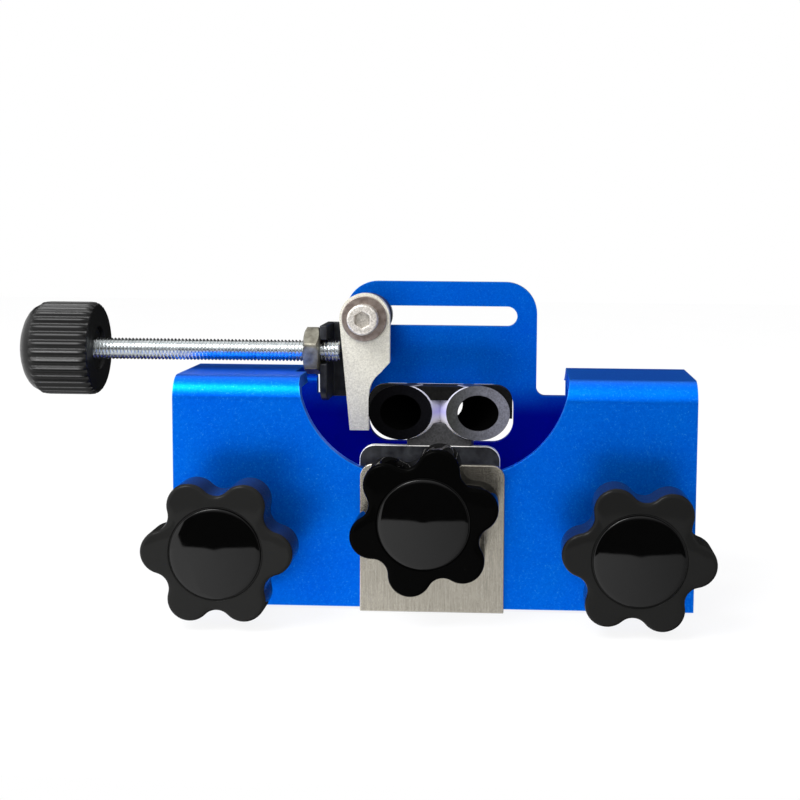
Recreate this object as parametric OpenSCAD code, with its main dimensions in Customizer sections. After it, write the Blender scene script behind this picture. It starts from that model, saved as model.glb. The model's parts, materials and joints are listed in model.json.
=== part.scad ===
// Chain sharpening jig: a bent sheet body that clamps over a saw's guide bar, with two
// crossed guide bushings for a grinding burr and an adjustable stop for the chain.
// Millimetres, +Z up, +X to the right, +Y away from the clamp knobs.
// Origin: the point where the axes of the two guide bushings cross.

/* [Body] */
// Width of the body, from end to end
body_w = 138; // [120:1:160]
// Height of the body, from its open edge to the top of the bridges
body_h = 61; // [58:1:66]
// Depth over both walls
body_d = 39; // [38:0.5:42]
// Thickness of the sheet
sheet_t = 3; // [2.5:0.5:3]
// Outside radius of the two long bends
bend_r = 6; // [5:0.5:8]
// Height of the guide axes above the open edge
guide_h = 52; // [51.5:0.1:52.8]
// Distance from the front face to the point where the guide axes cross
guide_depth = 19.6; // [19:0.1:20]
// Distance of that point to the right of the body's middle
guide_x = 1.5; // [0:0.1:2]
// Distance of the chain's middle plane behind that point
chain_y = 4.4; // [4:0.1:5]

/* [Front cut-out] */
// Half of the width of the cut-out at the top
cut_half_w = 35.7; // [34:0.1:38]
// Radius of its lower corners
cut_r = 27.3; // [20:0.1:30]
// Height of its floor above the open edge
cut_floor = 35.2; // [33:0.1:36]

/* [Flag] */
// Width of the upright flag of the back wall
flag_w = 54.7; // [52:0.1:60]
// Height of the flag's top above the open edge
flag_h = 85; // [83:0.5:90]
// Radius of the flag's top corners
flag_r = 9; // [4:0.5:9]
// Height of the relief notches beside the flag
relief_h = 52.5; // [50:0.5:54]
// Height of the slot in the flag
slot_h = 5.7; // [5.4:0.1:6]
// Length of the slot
slot_w = 45.7; // [40:0.1:46]
// Middle of the slot, from the middle of the body
slot_x = -1.15; // [-1.5:0.05:-1]
// Width of the window in the back wall
window_w = 41.6; // [36:0.1:44]
// Height of the window
window_h = 16.9; // [16:0.1:20]
// Middle of the window above the open edge
window_z = 47.3; // [47:0.1:50]
// Corner radius of the window
window_r = 6; // [4:0.1:8]

/* [Guides] */
// Angle between each guide and the body's depth
guide_angle = 30; // [25:1:35]
// Outer diameter of a guide bushing
tube_d = 14.6; // [14:0.1:15]
// Bore of a guide bushing
bore_d = 9.2; // [6:0.1:9.6]
// Distance of the bushings' front faces from the front face of the body
tube_set_back = 1.9; // [1:0.1:3]
// Distance of the bushings' rear ends in front of the point where their axes cross
tube_end = 0.2; // [0.1:0.1:3]
// Width of the guide carrier plate
carrier_w = 37.3; // [34:0.1:40]
// Thickness of the guide carrier plate
carrier_t = 2.5; // [2:0.1:3]
// Width of the clamp plate
plate_w = 38; // [34:0.5:42]
// Height of the clamp plate
plate_h = 39.4; // [36:0.1:40]
// Thickness of the clamp plate
plate_t = 2; // [1.5:0.1:2.5]

/* [Clamp knobs] */
// Distance of the side clamps from the middle of the body
clamp_x = 52.6; // [48:0.1:56]
// Height of the side clamps above the open edge
clamp_z = 19.4; // [16:0.1:21]
// Height of the centre knob above the open edge
centre_z = 26.9; // [25:0.1:28]
// Diameter over the lobes of a star knob
knob_d = 38.5; // [36:0.5:40]
// Number of lobes
lobe_count = 6; // [5:1:7]
// Thickness of a star knob's head
head_t = 12; // [9:0.5:13]
// Length of its hub
hub_t = 5; // [4:0.5:6]
// Thread diameter of the clamp studs and of the adjuster rod
thread_d = 6; // [6:0.5:6]
// Free travel between a side knob's hub and the body
side_gap = 7; // [6.5:0.5:8]
// Thickness of the guide bar that the jig is set for
bar_t = 4.8; // [4:0.1:5]

/* [Chain stop] */
// Middle of the stop bolt, from the middle of the body
bolt_x = -20.5; // [-20.8:0.1:-20]
// Radius of the pawl's head
pawl_r = 7; // [6.5:0.1:7.5]
// Thickness of the pawl
pawl_t = 3; // [2.5:0.1:3.5]
// Distance of the pawl's front face behind the point where the guide axes cross
pawl_y = 2.4; // [2:0.1:3]
// Reach of the pawl below its bolt
pawl_reach = 31.2; // [28:0.1:32]
// Height of the adjuster rod above the open edge
rod_h = 66; // [65.5:0.1:68]
// End of the adjuster rod, from the middle of the body
rod_end = -27.4; // [-27.8:0.1:-27.3]
// Free length of rod between its knob and the stop end
rod_len = 67.8; // [66:0.1:80]
// Diameter of the knurled adjuster knob
grip_d = 26; // [22:0.5:28]
// Length of the straight part of the adjuster knob
grip_len = 15.8; // [12:0.1:20]

/* [Hidden] */
$fn = 64;

slide_gap = 0.05;                       // gap between faces that slide on each other
run_gap = 0.05;                         // radial gap round a shaft that turns
loose_gap = 0.3;                        // radial gap round a shaft that only passes
over = 1;                               // how far a cutter runs past the face it cuts

front_y = -guide_depth;                 // front face of the body
back_y = front_y + body_d;              // back face of the body
inner_front_y = front_y + sheet_t;
inner_back_y = back_y - sheet_t;
base_z = -guide_h;                      // open edge of the body
top_z = base_z + body_h;
slot_z = base_z + 75.2;
bolt_z = slot_z;
stud_r = thread_d / 2;

tube_front_y = front_y + tube_set_back;
tube_back_y = -tube_end;
relief_y = -13;                         // behind this the bushings are cut flat on top
relief_z = 5.6;
carrier_y = inner_front_y + slide_gap;
carrier_back_y = carrier_y + carrier_t;
carrier_top_z = base_z + 43;
carrier_bottom_z = base_z + 10;
carrier_x = -1;                         // the carrier sits slightly left of the middle
carrier_corner_r = 4;
saddle_w = 17.2;
saddle_bottom_z = base_z + 30;
saddle_top_z = -3;
saddle_front_y = carrier_y + 0.2;       // front of its upper part, over the edge of the carrier
wedge_w = 38.4;                         // the wedge widens into a bridge behind the rings
wedge_r = 4.4;
wedge_top_z = 6.8;
wedge_back_y = -9.8;
bridge_bottom_z = -2;
filler_front_y = tube_front_y + 0.6;    // front of the filler between the rings
filler_bottom_z = 3.2;

plate_bottom_z = base_z - 0.6;
plate_corner_r = 3.5;
plate_y = front_y - slide_gap - plate_t;
height_slot_len = 14;                   // slot in the front wall for the centre stud
height_slot_w = thread_d + 2 * loose_gap;
height_slot_drop = 1.75;                // middle of the slot below the stud
height_slot_z = base_z + centre_z - height_slot_drop;

washer_t = 1.2;
washer_d = 12.5;
knob_r = knob_d / 2;
lobe_r = 5.6;                           // radius of a lobe's tip
valley_r = 3.9;                         // radius of the valley between two lobes
dome_r = 11.5;
dome_h = 1.2;
hub_r = 7.5;
knob_t = head_t + hub_t;
stud_depth = 9;                         // how far a stud is moulded into its knob
nose_r = 2;                             // plain nose of a side stud, held by its foot
nose_len = 3;
foot_r = 6.5;
foot_t = 4;
clamp_travel = 5;                       // from the open clamp to the guide bar
insert_r = 4.5;
insert_flange_r = 6.5;
insert_flange_t = 1;
insert_len = 5;
foot_y = chain_y - bar_t / 2 - clamp_travel - foot_t;
centre_x = -1;                          // the centre stud is in the middle of the carrier
centre_stud_reach = 3.5;                // how far the centre stud passes the carrier
centre_knob_y = plate_y - washer_t - knob_t;
side_knob_y = front_y - side_gap - knob_t;

pad_r = 7;
pad_y = chain_y + bar_t / 2;
pad_screw_r = 2;
pad_screw_len = 10;
pad_head_r = 3.8;
pad_head_t = 2.4;
pad_socket_af = 2.5;
pad_socket_depth = 1.4;

bolt_r = 2.5;
bolt_head_r = 4.25;
bolt_head_t = 5;
socket_af = 4;
socket_depth = 2.6;
bolt_nut_af = 8;
bolt_nut_t = 4;
bolt_spare = 1;                         // thread that shows behind the nut
bracket_t = 2;
bracket_y = inner_back_y - slide_gap - bracket_t;
spacer_y = pawl_y + pawl_t + slide_gap;
spacer_r = 6.5;
stop_washer_y = pawl_y - slide_gap - washer_t;
back_washer_y = back_y + slide_gap;

rod_y = 3.9;
rod_z = base_z + rod_h;
rod_start = rod_end - rod_len;          // where the rod leaves its knob
flange_x = -32.7;                       // left face of the bracket's flange
flange_front_y = 0.1;
flange_bottom_z = base_z + 52;
flange_top_z = base_z + 73.3;
nut_af = 12;
nut_t = 4.4;
nut_turn = 11;                          // the nut stands this many degrees off its corner
notch_depth = 3;                        // notch in the end of the left bridge, below the nut
notch_half_d = 8;
grip_dome_r = 9.5;
grip_dome_t = 5.4;
grip_recess_r = 6;
grip_recess_t = 1.2;

BLUE = [0.02, 0.36, 0.9];
BLACK = [0.08, 0.08, 0.09];
STEEL = [0.78, 0.77, 0.74];
DARK_STEEL = [0.22, 0.22, 0.23];
ZINC = [0.8, 0.82, 0.83];
GREY = [0.5, 0.5, 0.47];

// ---- helpers ----

// Places what is measured from the middle of the body.
module in_body() {
    translate([-guide_x, 0, 0]) children();
}

// Extrudes an outline drawn in X and Z along Y.
module along_y(y, t) {
    translate([0, y + t, 0]) rotate([90, 0, 0]) linear_extrude(t) children();
}

// Extrudes an outline drawn in Y and Z along X.
module along_x(x, t) {
    translate([x, 0, 0]) rotate([90, 0, 90]) linear_extrude(t) children();
}

// Round bar along Y.
module bar_y(x, y, z, len, r) {
    translate([x, y, z]) rotate([-90, 0, 0]) cylinder(h = len, r = r);
}

// Round bar along X.
module bar_x(x, y, z, len, r) {
    translate([x, y, z]) rotate([0, 90, 0]) cylinder(h = len, r = r);
}

// Upright rectangle from (0, 0), with its two upper corners rounded.
module arch(w, h, r) {
    translate([r, 0]) square([w - 2 * r, h]);
    square([w, h - r]);
    for (x = [r, w - r]) translate([x, h - r]) circle(r);
}

// Rectangle with round corners, centred.
module soft_rectangle(w, h, r) {
    square([w - 2 * r, h], center = true);
    square([w, h - 2 * r], center = true);
    for (x = [-1, 1], z = [-1, 1]) translate([x * (w / 2 - r), z * (h / 2 - r)]) circle(r);
}

// Slot outline with round ends, centred.
module stadium(len, h) {
    square([len - h, h], center = true);
    for (side = [-1, 1]) translate([side * (len - h) / 2, 0]) circle(h / 2);
}

// The filler of an inside corner at (0, 0), in the direction sx.
module fillet(sx, r) {
    difference() {
        translate([sx > 0 ? 0 : -r, 0]) square(r);
        translate([sx * r, r]) circle(r);
    }
}

// Flat ring along Y.
module ring_y(x, y, z, t, r, hole_r) {
    difference() {
        bar_y(x, y, z, t, r);
        bar_y(x, y - over, z, t + 2 * over, hole_r);
    }
}

function arc_points(c, r, from, to, steps) =
    [for (i = [0:steps]) let (a = from + (to - from) * i / steps) c + r * [cos(a), sin(a)]];

// ---- body ----

module body_profile() {
    difference() {
        translate([front_y, base_z]) arch(body_d, body_h, bend_r);
        translate([inner_front_y, base_z - over])
            arch(body_d - 2 * sheet_t, body_h - sheet_t + over, bend_r - sheet_t);
    }
}

module front_cut_outline() {
    corner_x = cut_half_w - cut_r;
    corner_z = base_z + cut_floor + cut_r;
    for (side = [-1, 1]) translate([side * corner_x, corner_z]) circle(cut_r, $fn = 128);
    translate([-corner_x, base_z + cut_floor]) square([2 * corner_x, cut_r]);
    translate([-cut_half_w, corner_z]) square([2 * cut_half_w, body_h]);
}

module flag_outline() {
    root_z = base_z + relief_h;
    notch_r = 2.5;
    translate([-flag_w / 2, root_z - over]) arch(flag_w, flag_h - relief_h + over, flag_r);
    for (side = [-1, 1]) translate([side * flag_w / 2, root_z]) fillet(side, notch_r);
}

module body() {
    color(BLUE) in_body()
    difference() {
        union() {
            difference() {
                along_x(-body_w / 2, body_w) body_profile();
                along_y(front_y - over, body_d - sheet_t + over) front_cut_outline();
                translate([-cut_half_w, inner_back_y - over, base_z + relief_h])
                    cube([2 * cut_half_w, sheet_t + 2 * over, body_h]);
                translate([-cut_half_w - notch_depth, rod_y - notch_half_d, top_z - sheet_t - over])
                    cube([notch_depth + over, 2 * notch_half_d, sheet_t + 2 * over]);
            }
            along_y(inner_back_y, sheet_t) flag_outline();
        }
        along_y(inner_back_y - over, sheet_t + 2 * over) {
            translate([slot_x, slot_z]) stadium(slot_w, slot_h);
            translate([0, base_z + window_z]) soft_rectangle(window_w, window_h, window_r);
        }
        along_y(front_y - over, sheet_t + 2 * over)
            translate([centre_x, height_slot_z]) rotate(90) stadium(height_slot_len, height_slot_w);
        for (side = [-1, 1]) {
            bar_y(side * clamp_x, front_y - over, base_z + clamp_z, sheet_t + 2 * over, insert_r);
            bar_y(side * clamp_x, inner_back_y - over, base_z + clamp_z, sheet_t + 2 * over,
                  pad_screw_r + loose_gap);
        }
    }
}

module body_inserts() {
    color(STEEL) in_body()
    for (side = [-1, 1])
        difference() {
            union() {
                bar_y(side * clamp_x, front_y, base_z + clamp_z, insert_len, insert_r);
                bar_y(side * clamp_x, front_y - insert_flange_t, base_z + clamp_z,
                      insert_flange_t, insert_flange_r);
            }
            bar_y(side * clamp_x, front_y - 2 * over, base_z + clamp_z, insert_len + 4 * over,
                  stud_r + run_gap);
        }
}

module rest_pads() {
    color(BLACK) in_body()
    for (side = [-1, 1])
        difference() {
            bar_y(side * clamp_x, pad_y, base_z + clamp_z, inner_back_y - pad_y, pad_r);
            bar_y(side * clamp_x, back_y - pad_screw_len, base_z + clamp_z, pad_screw_len, pad_screw_r);
        }
}

module pad_screws() {
    color(ZINC) in_body()
    for (side = [-1, 1])
        difference() {
            union() {
                bar_y(side * clamp_x, back_y - pad_screw_len, base_z + clamp_z, pad_screw_len,
                      pad_screw_r);
                bar_y(side * clamp_x, back_y, base_z + clamp_z, pad_head_t, pad_head_r);
            }
            translate([side * clamp_x, back_y + pad_head_t - pad_socket_depth, base_z + clamp_z])
                rotate([-90, 0, 0])
                    cylinder(h = pad_socket_depth + over, r = pad_socket_af / sqrt(3), $fn = 6);
        }
}

// ---- guide head ----

// Solid bar along a guide axis; side is -1 for the guide that starts at the left.
module along_guide(side, r) {
    rotate([0, 0, side * guide_angle]) rotate([90, 0, 0]) cylinder(h = 80, r = r, center = true);
}

// Outside of a bushing, cut flat on top at its rear.
module bushing_blank(side) {
    difference() {
        intersection() {
            along_guide(side, tube_d / 2);
            translate([side < 0 ? -body_w / 2 : 0, tube_front_y, -body_h / 2])
                cube([body_w / 2, tube_back_y - tube_front_y, body_h]);
        }
        translate([-body_w / 2, relief_y, relief_z]) cube([body_w, tube_back_y - relief_y + over, tube_d]);
    }
}

module bushing(side) {
    difference() {
        bushing_blank(side);
        for (s = [-1, 1]) along_guide(s, bore_d / 2);
    }
}

module left_guide_bushing() {
    color(DARK_STEEL) bushing(-1);
}

module right_guide_bushing() {
    color(DARK_STEEL) bushing(1);
}

// Block across the middle between two heights and two depths.
module web_block(low_z, high_z, front, back) {
    translate([-saddle_w / 2, front, low_z]) cube([saddle_w, back - front, high_z - low_z]);
}

module guide_saddle() {
    color(DARK_STEEL)
    difference() {
        union() {
            web_block(saddle_bottom_z, saddle_top_z, carrier_back_y, tube_back_y);
            web_block(carrier_top_z, saddle_top_z, saddle_front_y, tube_back_y);
        }
        for (s = [-1, 1]) along_guide(s, tube_d / 2);
    }
}

module guide_wedge() {
    color(BLACK)
    difference() {
        union() {
            web_block(filler_bottom_z, wedge_top_z, filler_front_y, wedge_back_y);
            along_y(relief_y, wedge_back_y - relief_y)
                translate([-wedge_w / 2, bridge_bottom_z])
                    arch(wedge_w, wedge_top_z - bridge_bottom_z, wedge_r);
        }
        for (s = [-1, 1]) {
            bushing_blank(s);
            along_guide(s, bore_d / 2);
        }
    }
}

module guide_carrier() {
    color(BLACK) in_body()
    difference() {
        along_y(carrier_y, carrier_t)
            translate([carrier_x - carrier_w / 2, carrier_bottom_z])
                arch(carrier_w, carrier_top_z - carrier_bottom_z, carrier_corner_r);
        bar_y(centre_x, carrier_y - over, base_z + centre_z, carrier_t + 2 * over, stud_r + run_gap);
    }
}

module clamp_plate() {
    color(STEEL) in_body()
    difference() {
        along_y(plate_y, plate_t)
            translate([-plate_w / 2, plate_bottom_z]) arch(plate_w, plate_h, plate_corner_r);
        bar_y(centre_x, plate_y - over, base_z + centre_z, plate_t + 2 * over, stud_r + loose_gap);
    }
}

// ---- knobs and studs ----

// Outline of one lobe and the valley after it, as arcs that meet without a corner.
function star_points() =
    let (step = 360 / lobe_count,
         lobe_c = knob_r - lobe_r,
         reach = lobe_r + valley_r,
         valley_c = lobe_c * cos(step / 2) + sqrt(pow(reach, 2) - pow(lobe_c * sin(step / 2), 2)),
         lean = acos((lobe_c - valley_c * cos(step / 2)) / reach))
    [for (i = [0:lobe_count - 1])
        let (a = i * step, half = 180 - lean)
        each concat(
            arc_points(lobe_c * [cos(a), sin(a)], lobe_r, a - half, a + half, 10),
            arc_points(valley_c * [cos(a + step / 2), sin(a + step / 2)], valley_r,
                       a + half + 180, a + step - half - 180 + 360, 8))];

module star_knob(x, y, z, turn) {
    color(BLACK) in_body()
    difference() {
        union() {
            along_y(y, head_t) translate([x, z]) rotate(turn) polygon(star_points());
            translate([x, y, z]) rotate([90, 0, 0]) cylinder(h = dome_h, r1 = dome_r, r2 = dome_r - dome_h);
            bar_y(x, y + head_t, z, hub_t, hub_r);
        }
        bar_y(x, y + knob_t - stud_depth, z, stud_depth + over, stud_r);
    }
}

module side_stud(side) {
    start_y = side_knob_y + knob_t - stud_depth;
    color(ZINC) in_body() {
        bar_y(side * clamp_x, start_y, base_z + clamp_z, foot_y - start_y, stud_r);
        bar_y(side * clamp_x, foot_y, base_z + clamp_z, nose_len, nose_r);
    }
}

module foot(side) {
    color(DARK_STEEL) in_body()
    difference() {
        bar_y(side * clamp_x, foot_y + slide_gap, base_z + clamp_z, foot_t, foot_r);
        bar_y(side * clamp_x, foot_y - over, base_z + clamp_z, nose_len + over + slide_gap,
              nose_r + run_gap);
    }
}

module left_knob() {
    star_knob(-clamp_x, side_knob_y, base_z + clamp_z, 0);
}

module right_knob() {
    star_knob(clamp_x, side_knob_y, base_z + clamp_z, -4.5);
}

module centre_knob() {
    star_knob(centre_x, centre_knob_y, base_z + centre_z, 15.5);
}

module left_stud() {
    side_stud(-1);
}

module right_stud() {
    side_stud(1);
}

module left_foot() {
    foot(-1);
}

module right_foot() {
    foot(1);
}

module centre_stud() {
    start_y = centre_knob_y + knob_t - stud_depth;
    end_y = carrier_back_y + centre_stud_reach;
    color(ZINC) in_body() bar_y(centre_x, start_y, base_z + centre_z, end_y - start_y, stud_r);
}

module centre_washer() {
    color(ZINC) in_body()
    ring_y(centre_x, plate_y - washer_t, base_z + centre_z, washer_t, washer_d / 2, stud_r + run_gap);
}

// ---- chain stop ----

// Outline of the pawl round its bolt: round head, straight left edge, hollowed right edge.
module pawl_outline() {
    tip_left = -4.1;
    tip_right = 1.2;
    shoulder_z = -12.2;
    hollow_r = 8;
    hollow_z = -21.5;
    difference() {
        union() {
            circle(pawl_r);
            polygon([[-pawl_r, -0.6], [tip_left, -pawl_reach], [tip_right, -pawl_reach],
                     [tip_right, hollow_z], [4.3, -15.2], [pawl_r, shoulder_z], [pawl_r, 0]]);
        }
        translate([tip_right + hollow_r, hollow_z]) circle(hollow_r);
        circle(bolt_r + run_gap);
    }
}

module stop_pawl() {
    color(STEEL) in_body() along_y(pawl_y, pawl_t) translate([bolt_x, bolt_z]) pawl_outline();
}

module stop_bolt() {
    head_y = stop_washer_y - bolt_head_t;
    end_y = back_washer_y + washer_t + bolt_nut_t + bolt_spare;
    color(STEEL) in_body()
    difference() {
        union() {
            bar_y(bolt_x, head_y, bolt_z, bolt_head_t, bolt_head_r);
            bar_y(bolt_x, stop_washer_y, bolt_z, end_y - stop_washer_y, bolt_r);
        }
        translate([bolt_x, head_y - over, bolt_z])
            rotate([-90, 0, 0]) cylinder(h = socket_depth + over, r = socket_af / sqrt(3), $fn = 6);
    }
}

module stop_washer() {
    color(GREY) in_body() ring_y(bolt_x, stop_washer_y, bolt_z, washer_t, washer_d / 2, bolt_r + run_gap);
}

module stop_spacer() {
    color(DARK_STEEL) in_body()
    ring_y(bolt_x, spacer_y, bolt_z, bracket_y - spacer_y, spacer_r, bolt_r + run_gap);
}

module back_washer() {
    color(ZINC) in_body() ring_y(bolt_x, back_washer_y, bolt_z, washer_t, washer_d / 2, bolt_r + run_gap);
}

module stop_nut() {
    color(ZINC) in_body()
    difference() {
        translate([bolt_x, back_washer_y + washer_t, bolt_z])
            rotate([-90, 0, 0]) cylinder(h = bolt_nut_t, r = bolt_nut_af / sqrt(3), $fn = 6);
        bar_y(bolt_x, back_washer_y, bolt_z, bolt_nut_t + 2 * washer_t, bolt_r + run_gap);
    }
}

// ---- adjuster ----

module adjuster_bracket() {
    foot_right = -16.5;
    foot_slant = 8.5;
    foot_rise = 11;
    flange_corner_r = 5;
    flange_depth = bracket_y + bracket_t - flange_front_y;
    flange_height = flange_top_z - flange_bottom_z;
    color(BLACK) in_body()
    difference() {
        union() {
            // base on the flag, with an ear round the bolt
            along_y(bracket_y, bracket_t) {
                polygon([[flange_x, flange_bottom_z], [foot_right - foot_slant, flange_bottom_z],
                         [foot_right, flange_bottom_z + foot_rise], [bolt_x + spacer_r - 1, bolt_z],
                         [bolt_x, flange_top_z], [flange_x, flange_top_z]]);
                translate([bolt_x, bolt_z]) circle(spacer_r);
            }
            // flange that the rod passes through
            along_x(flange_x, bracket_t) {
                translate([flange_front_y + flange_corner_r, flange_bottom_z])
                    square([flange_depth - flange_corner_r, flange_height]);
                translate([flange_front_y, flange_bottom_z + flange_corner_r])
                    square([flange_depth, flange_height - flange_corner_r]);
                translate([flange_front_y + flange_corner_r, flange_bottom_z + flange_corner_r])
                    circle(flange_corner_r);
            }
        }
        bar_y(bolt_x, bracket_y - over, bolt_z, bracket_t + 2 * over, bolt_r + run_gap);
        // fork for the rod, open to the front
        bar_x(flange_x - over, rod_y, rod_z, bracket_t + 2 * over, stud_r + loose_gap);
        translate([flange_x - over, flange_front_y - over, rod_z - stud_r - loose_gap])
            cube([bracket_t + 2 * over, rod_y - flange_front_y + over, thread_d + 2 * loose_gap]);
    }
}

module adjuster_nut() {
    color(GREY) in_body()
    difference() {
        translate([flange_x - nut_t, rod_y, rod_z])
            rotate([nut_turn, 0, 0]) rotate([0, 90, 0]) cylinder(h = nut_t, r = nut_af / sqrt(3), $fn = 6);
        bar_x(flange_x - nut_t - over, rod_y, rod_z, nut_t + 2 * over, stud_r + run_gap);
    }
}

module adjuster_rod() {
    rod_root = rod_start - grip_len + over;
    color(ZINC) in_body() bar_x(rod_root, rod_y, rod_z, rod_end - rod_root, stud_r);
}

module adjuster_knob() {
    color(BLACK) in_body()
    difference() {
        union() {
            bar_x(rod_start - grip_len, rod_y, rod_z, grip_len, grip_d / 2);
            translate([rod_start - grip_len, rod_y, rod_z]) rotate([0, -90, 0])
                cylinder(h = grip_dome_t, r1 = grip_d / 2, r2 = grip_dome_r);
        }
        bar_x(rod_start - grip_len + over, rod_y, rod_z, grip_len, stud_r + run_gap);
        bar_x(rod_start - grip_recess_t, rod_y, rod_z, grip_recess_t + over, grip_recess_r);
    }
}

body();
clamp_plate();
guide_carrier();
guide_saddle();
guide_wedge();
left_guide_bushing();
right_guide_bushing();
body_inserts();
left_knob();
left_stud();
left_foot();
right_knob();
right_stud();
right_foot();
centre_knob();
centre_stud();
centre_washer();
rest_pads();
pad_screws();
stop_pawl();
stop_bolt();
stop_washer();
stop_spacer();
back_washer();
stop_nut();
adjuster_bracket();
adjuster_nut();
adjuster_rod();
adjuster_knob();
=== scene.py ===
"""Looks of a chain sharpening jig: pieces, materials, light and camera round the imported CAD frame."""

import json
import math

import bmesh
import bpy
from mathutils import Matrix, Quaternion, Vector


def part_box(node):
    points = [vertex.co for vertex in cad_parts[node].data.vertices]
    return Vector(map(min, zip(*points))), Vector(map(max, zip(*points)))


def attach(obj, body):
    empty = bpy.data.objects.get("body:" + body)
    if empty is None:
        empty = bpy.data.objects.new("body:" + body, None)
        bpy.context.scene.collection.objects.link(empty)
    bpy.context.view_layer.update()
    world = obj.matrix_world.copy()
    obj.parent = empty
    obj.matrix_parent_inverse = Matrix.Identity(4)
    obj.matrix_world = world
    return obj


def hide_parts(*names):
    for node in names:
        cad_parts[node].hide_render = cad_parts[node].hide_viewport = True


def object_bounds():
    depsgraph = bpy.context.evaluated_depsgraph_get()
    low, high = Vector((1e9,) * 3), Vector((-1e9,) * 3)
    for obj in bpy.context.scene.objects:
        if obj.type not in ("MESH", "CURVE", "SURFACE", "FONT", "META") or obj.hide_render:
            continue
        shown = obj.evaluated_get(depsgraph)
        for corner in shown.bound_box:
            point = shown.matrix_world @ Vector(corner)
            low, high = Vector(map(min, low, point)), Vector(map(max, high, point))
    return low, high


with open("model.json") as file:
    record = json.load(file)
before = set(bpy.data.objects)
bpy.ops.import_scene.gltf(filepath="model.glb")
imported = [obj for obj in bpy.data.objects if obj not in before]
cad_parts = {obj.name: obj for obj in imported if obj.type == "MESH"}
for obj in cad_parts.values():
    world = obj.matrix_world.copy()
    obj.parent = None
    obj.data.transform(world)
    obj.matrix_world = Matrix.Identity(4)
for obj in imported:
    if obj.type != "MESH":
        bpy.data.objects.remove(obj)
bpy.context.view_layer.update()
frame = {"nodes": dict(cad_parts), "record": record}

MM = 0.001
TAU = 2 * math.pi
SOFT = math.radians(28)            # faces that meet at less than this belong to one curved surface

# Sizes in millimetres that the boxes of the CAD nodes don't give
LOBES = 6
LOBE_R = 5.6
VALLEY_R = 3.9
DOME_R = 11.5
DOME_H = 1.2
HEAD_T = 12.0
HUB_R = 7.5
KNOB_TURN = {"left_knob": 0.0, "right_knob": -4.5, "centre_knob": 15.5}
THREAD_R = 3.0
THREAD_PITCH = 1.0
THREAD_DEPTH = 0.5
GRIP_RIBS = 34
GRIP_RIB_H = 0.75
GRIP_DOME_T = 5.4
GRIP_RECESS_R = 6.0
GRIP_RECESS_T = 1.2
NOSE_R = 2.0
NOSE_LEN = 3.0
BOLT_R = 2.5
BOLT_HEAD_R = 4.25
BOLT_HEAD_T = 5.0
BOLT_SOCKET_AF = 4.0
BOLT_SOCKET_T = 2.6
BOLT_PITCH = 0.8
NUT_AF = 12.0
NUT_TURN = 11.0
BACK_NUT_AF = 8.0

# Camera: place from the middle of the body's lower front edge, turn in degrees, lens and shift
CAMERA_PLACE = (22.51, -362.51, 102.55)
CAMERA_TURN = {"yaw": 2.483, "pitch": 5.525, "roll": 0.444}
CAMERA_LENS = 62.96
CAMERA_SHIFT = (-0.0742, -0.0559)

RECORD = frame["record"]
BODY_OF = {node: body for body, nodes in RECORD["behaviour"]["bodies"].items() for node in nodes}


# ---- places ----

def middle(node):
    """Centre of a CAD node's box, in millimetres."""
    low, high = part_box(node)
    return (low + high) / 2 / MM


def span(node, axis):
    """Lowest and highest value of a CAD node along an axis, in millimetres."""
    low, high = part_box(node)
    return low[axis] / MM, high[axis] / MM


def around_x(y, z):
    """Point at radius r, angle a and height h on the axis that runs along +X."""
    return lambda r, a, h: Vector((h, y + r * math.cos(a), z + r * math.sin(a)))


def around_y(x, z):
    """Point at radius r, angle a and height h on the axis that runs along +Y."""
    return lambda r, a, h: Vector((x + r * math.cos(a), h, z - r * math.sin(a)))


# ---- mesh helpers, all in millimetres ----

def loft(bm, rings, loop=False):
    """Closed surface through rings of points. The end rings are capped, or joined when loop is true."""
    rows = [[bm.verts.new(p) for p in ring] for ring in rings]
    pairs = list(zip(rows, rows[1:]))
    if loop:
        pairs.append((rows[-1], rows[0]))
    for low, high in pairs:
        for i in range(len(low)):
            j = (i + 1) % len(low)
            bm.faces.new((low[i], low[j], high[j], high[i])).smooth = True
    if not loop:
        cap(bm, rows[0])
        cap(bm, rows[-1])


def cap(bm, row):
    """Fan of triangles from the middle of a ring."""
    centre = bm.verts.new(sum((v.co for v in row), Vector()) / len(row))
    for i in range(len(row)):
        bm.faces.new((centre, row[i], row[(i + 1) % len(row)])).smooth = True


def turned_rings(place, profile, count=64):
    """Rings for a profile of (radius, height), turned round an axis."""
    angles = [TAU * i / count for i in range(count)]
    return [[place(r, a, h) for a in angles] for r, h in profile]


def ring_section(inner, outer, low, high, edge):
    """Profile of a flat ring, with chamfered edges, to be joined into a loop."""
    return [(inner + edge, low), (outer - edge, low), (outer, low + edge), (outer, high - edge),
            (outer - edge, high), (inner + edge, high), (inner, high - edge), (inner, low + edge)]


def piece(name, bm, node, material):
    """Turns a bmesh in millimetres into a piece that stands for a CAD node and rides on its body."""
    bmesh.ops.scale(bm, vec=(MM, MM, MM), verts=bm.verts)
    bmesh.ops.recalc_face_normals(bm, faces=bm.faces)
    mesh = bpy.data.meshes.new(name)
    bm.to_mesh(mesh)
    bm.free()
    normals = corner_normals(mesh)
    mesh.shade_smooth()
    mesh.normals_split_custom_set(normals)
    mesh.materials.append(material)
    obj = bpy.data.objects.new(name, mesh)
    bpy.context.scene.collection.objects.link(obj)
    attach(obj, BODY_OF[node])
    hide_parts(node)
    return obj


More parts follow.
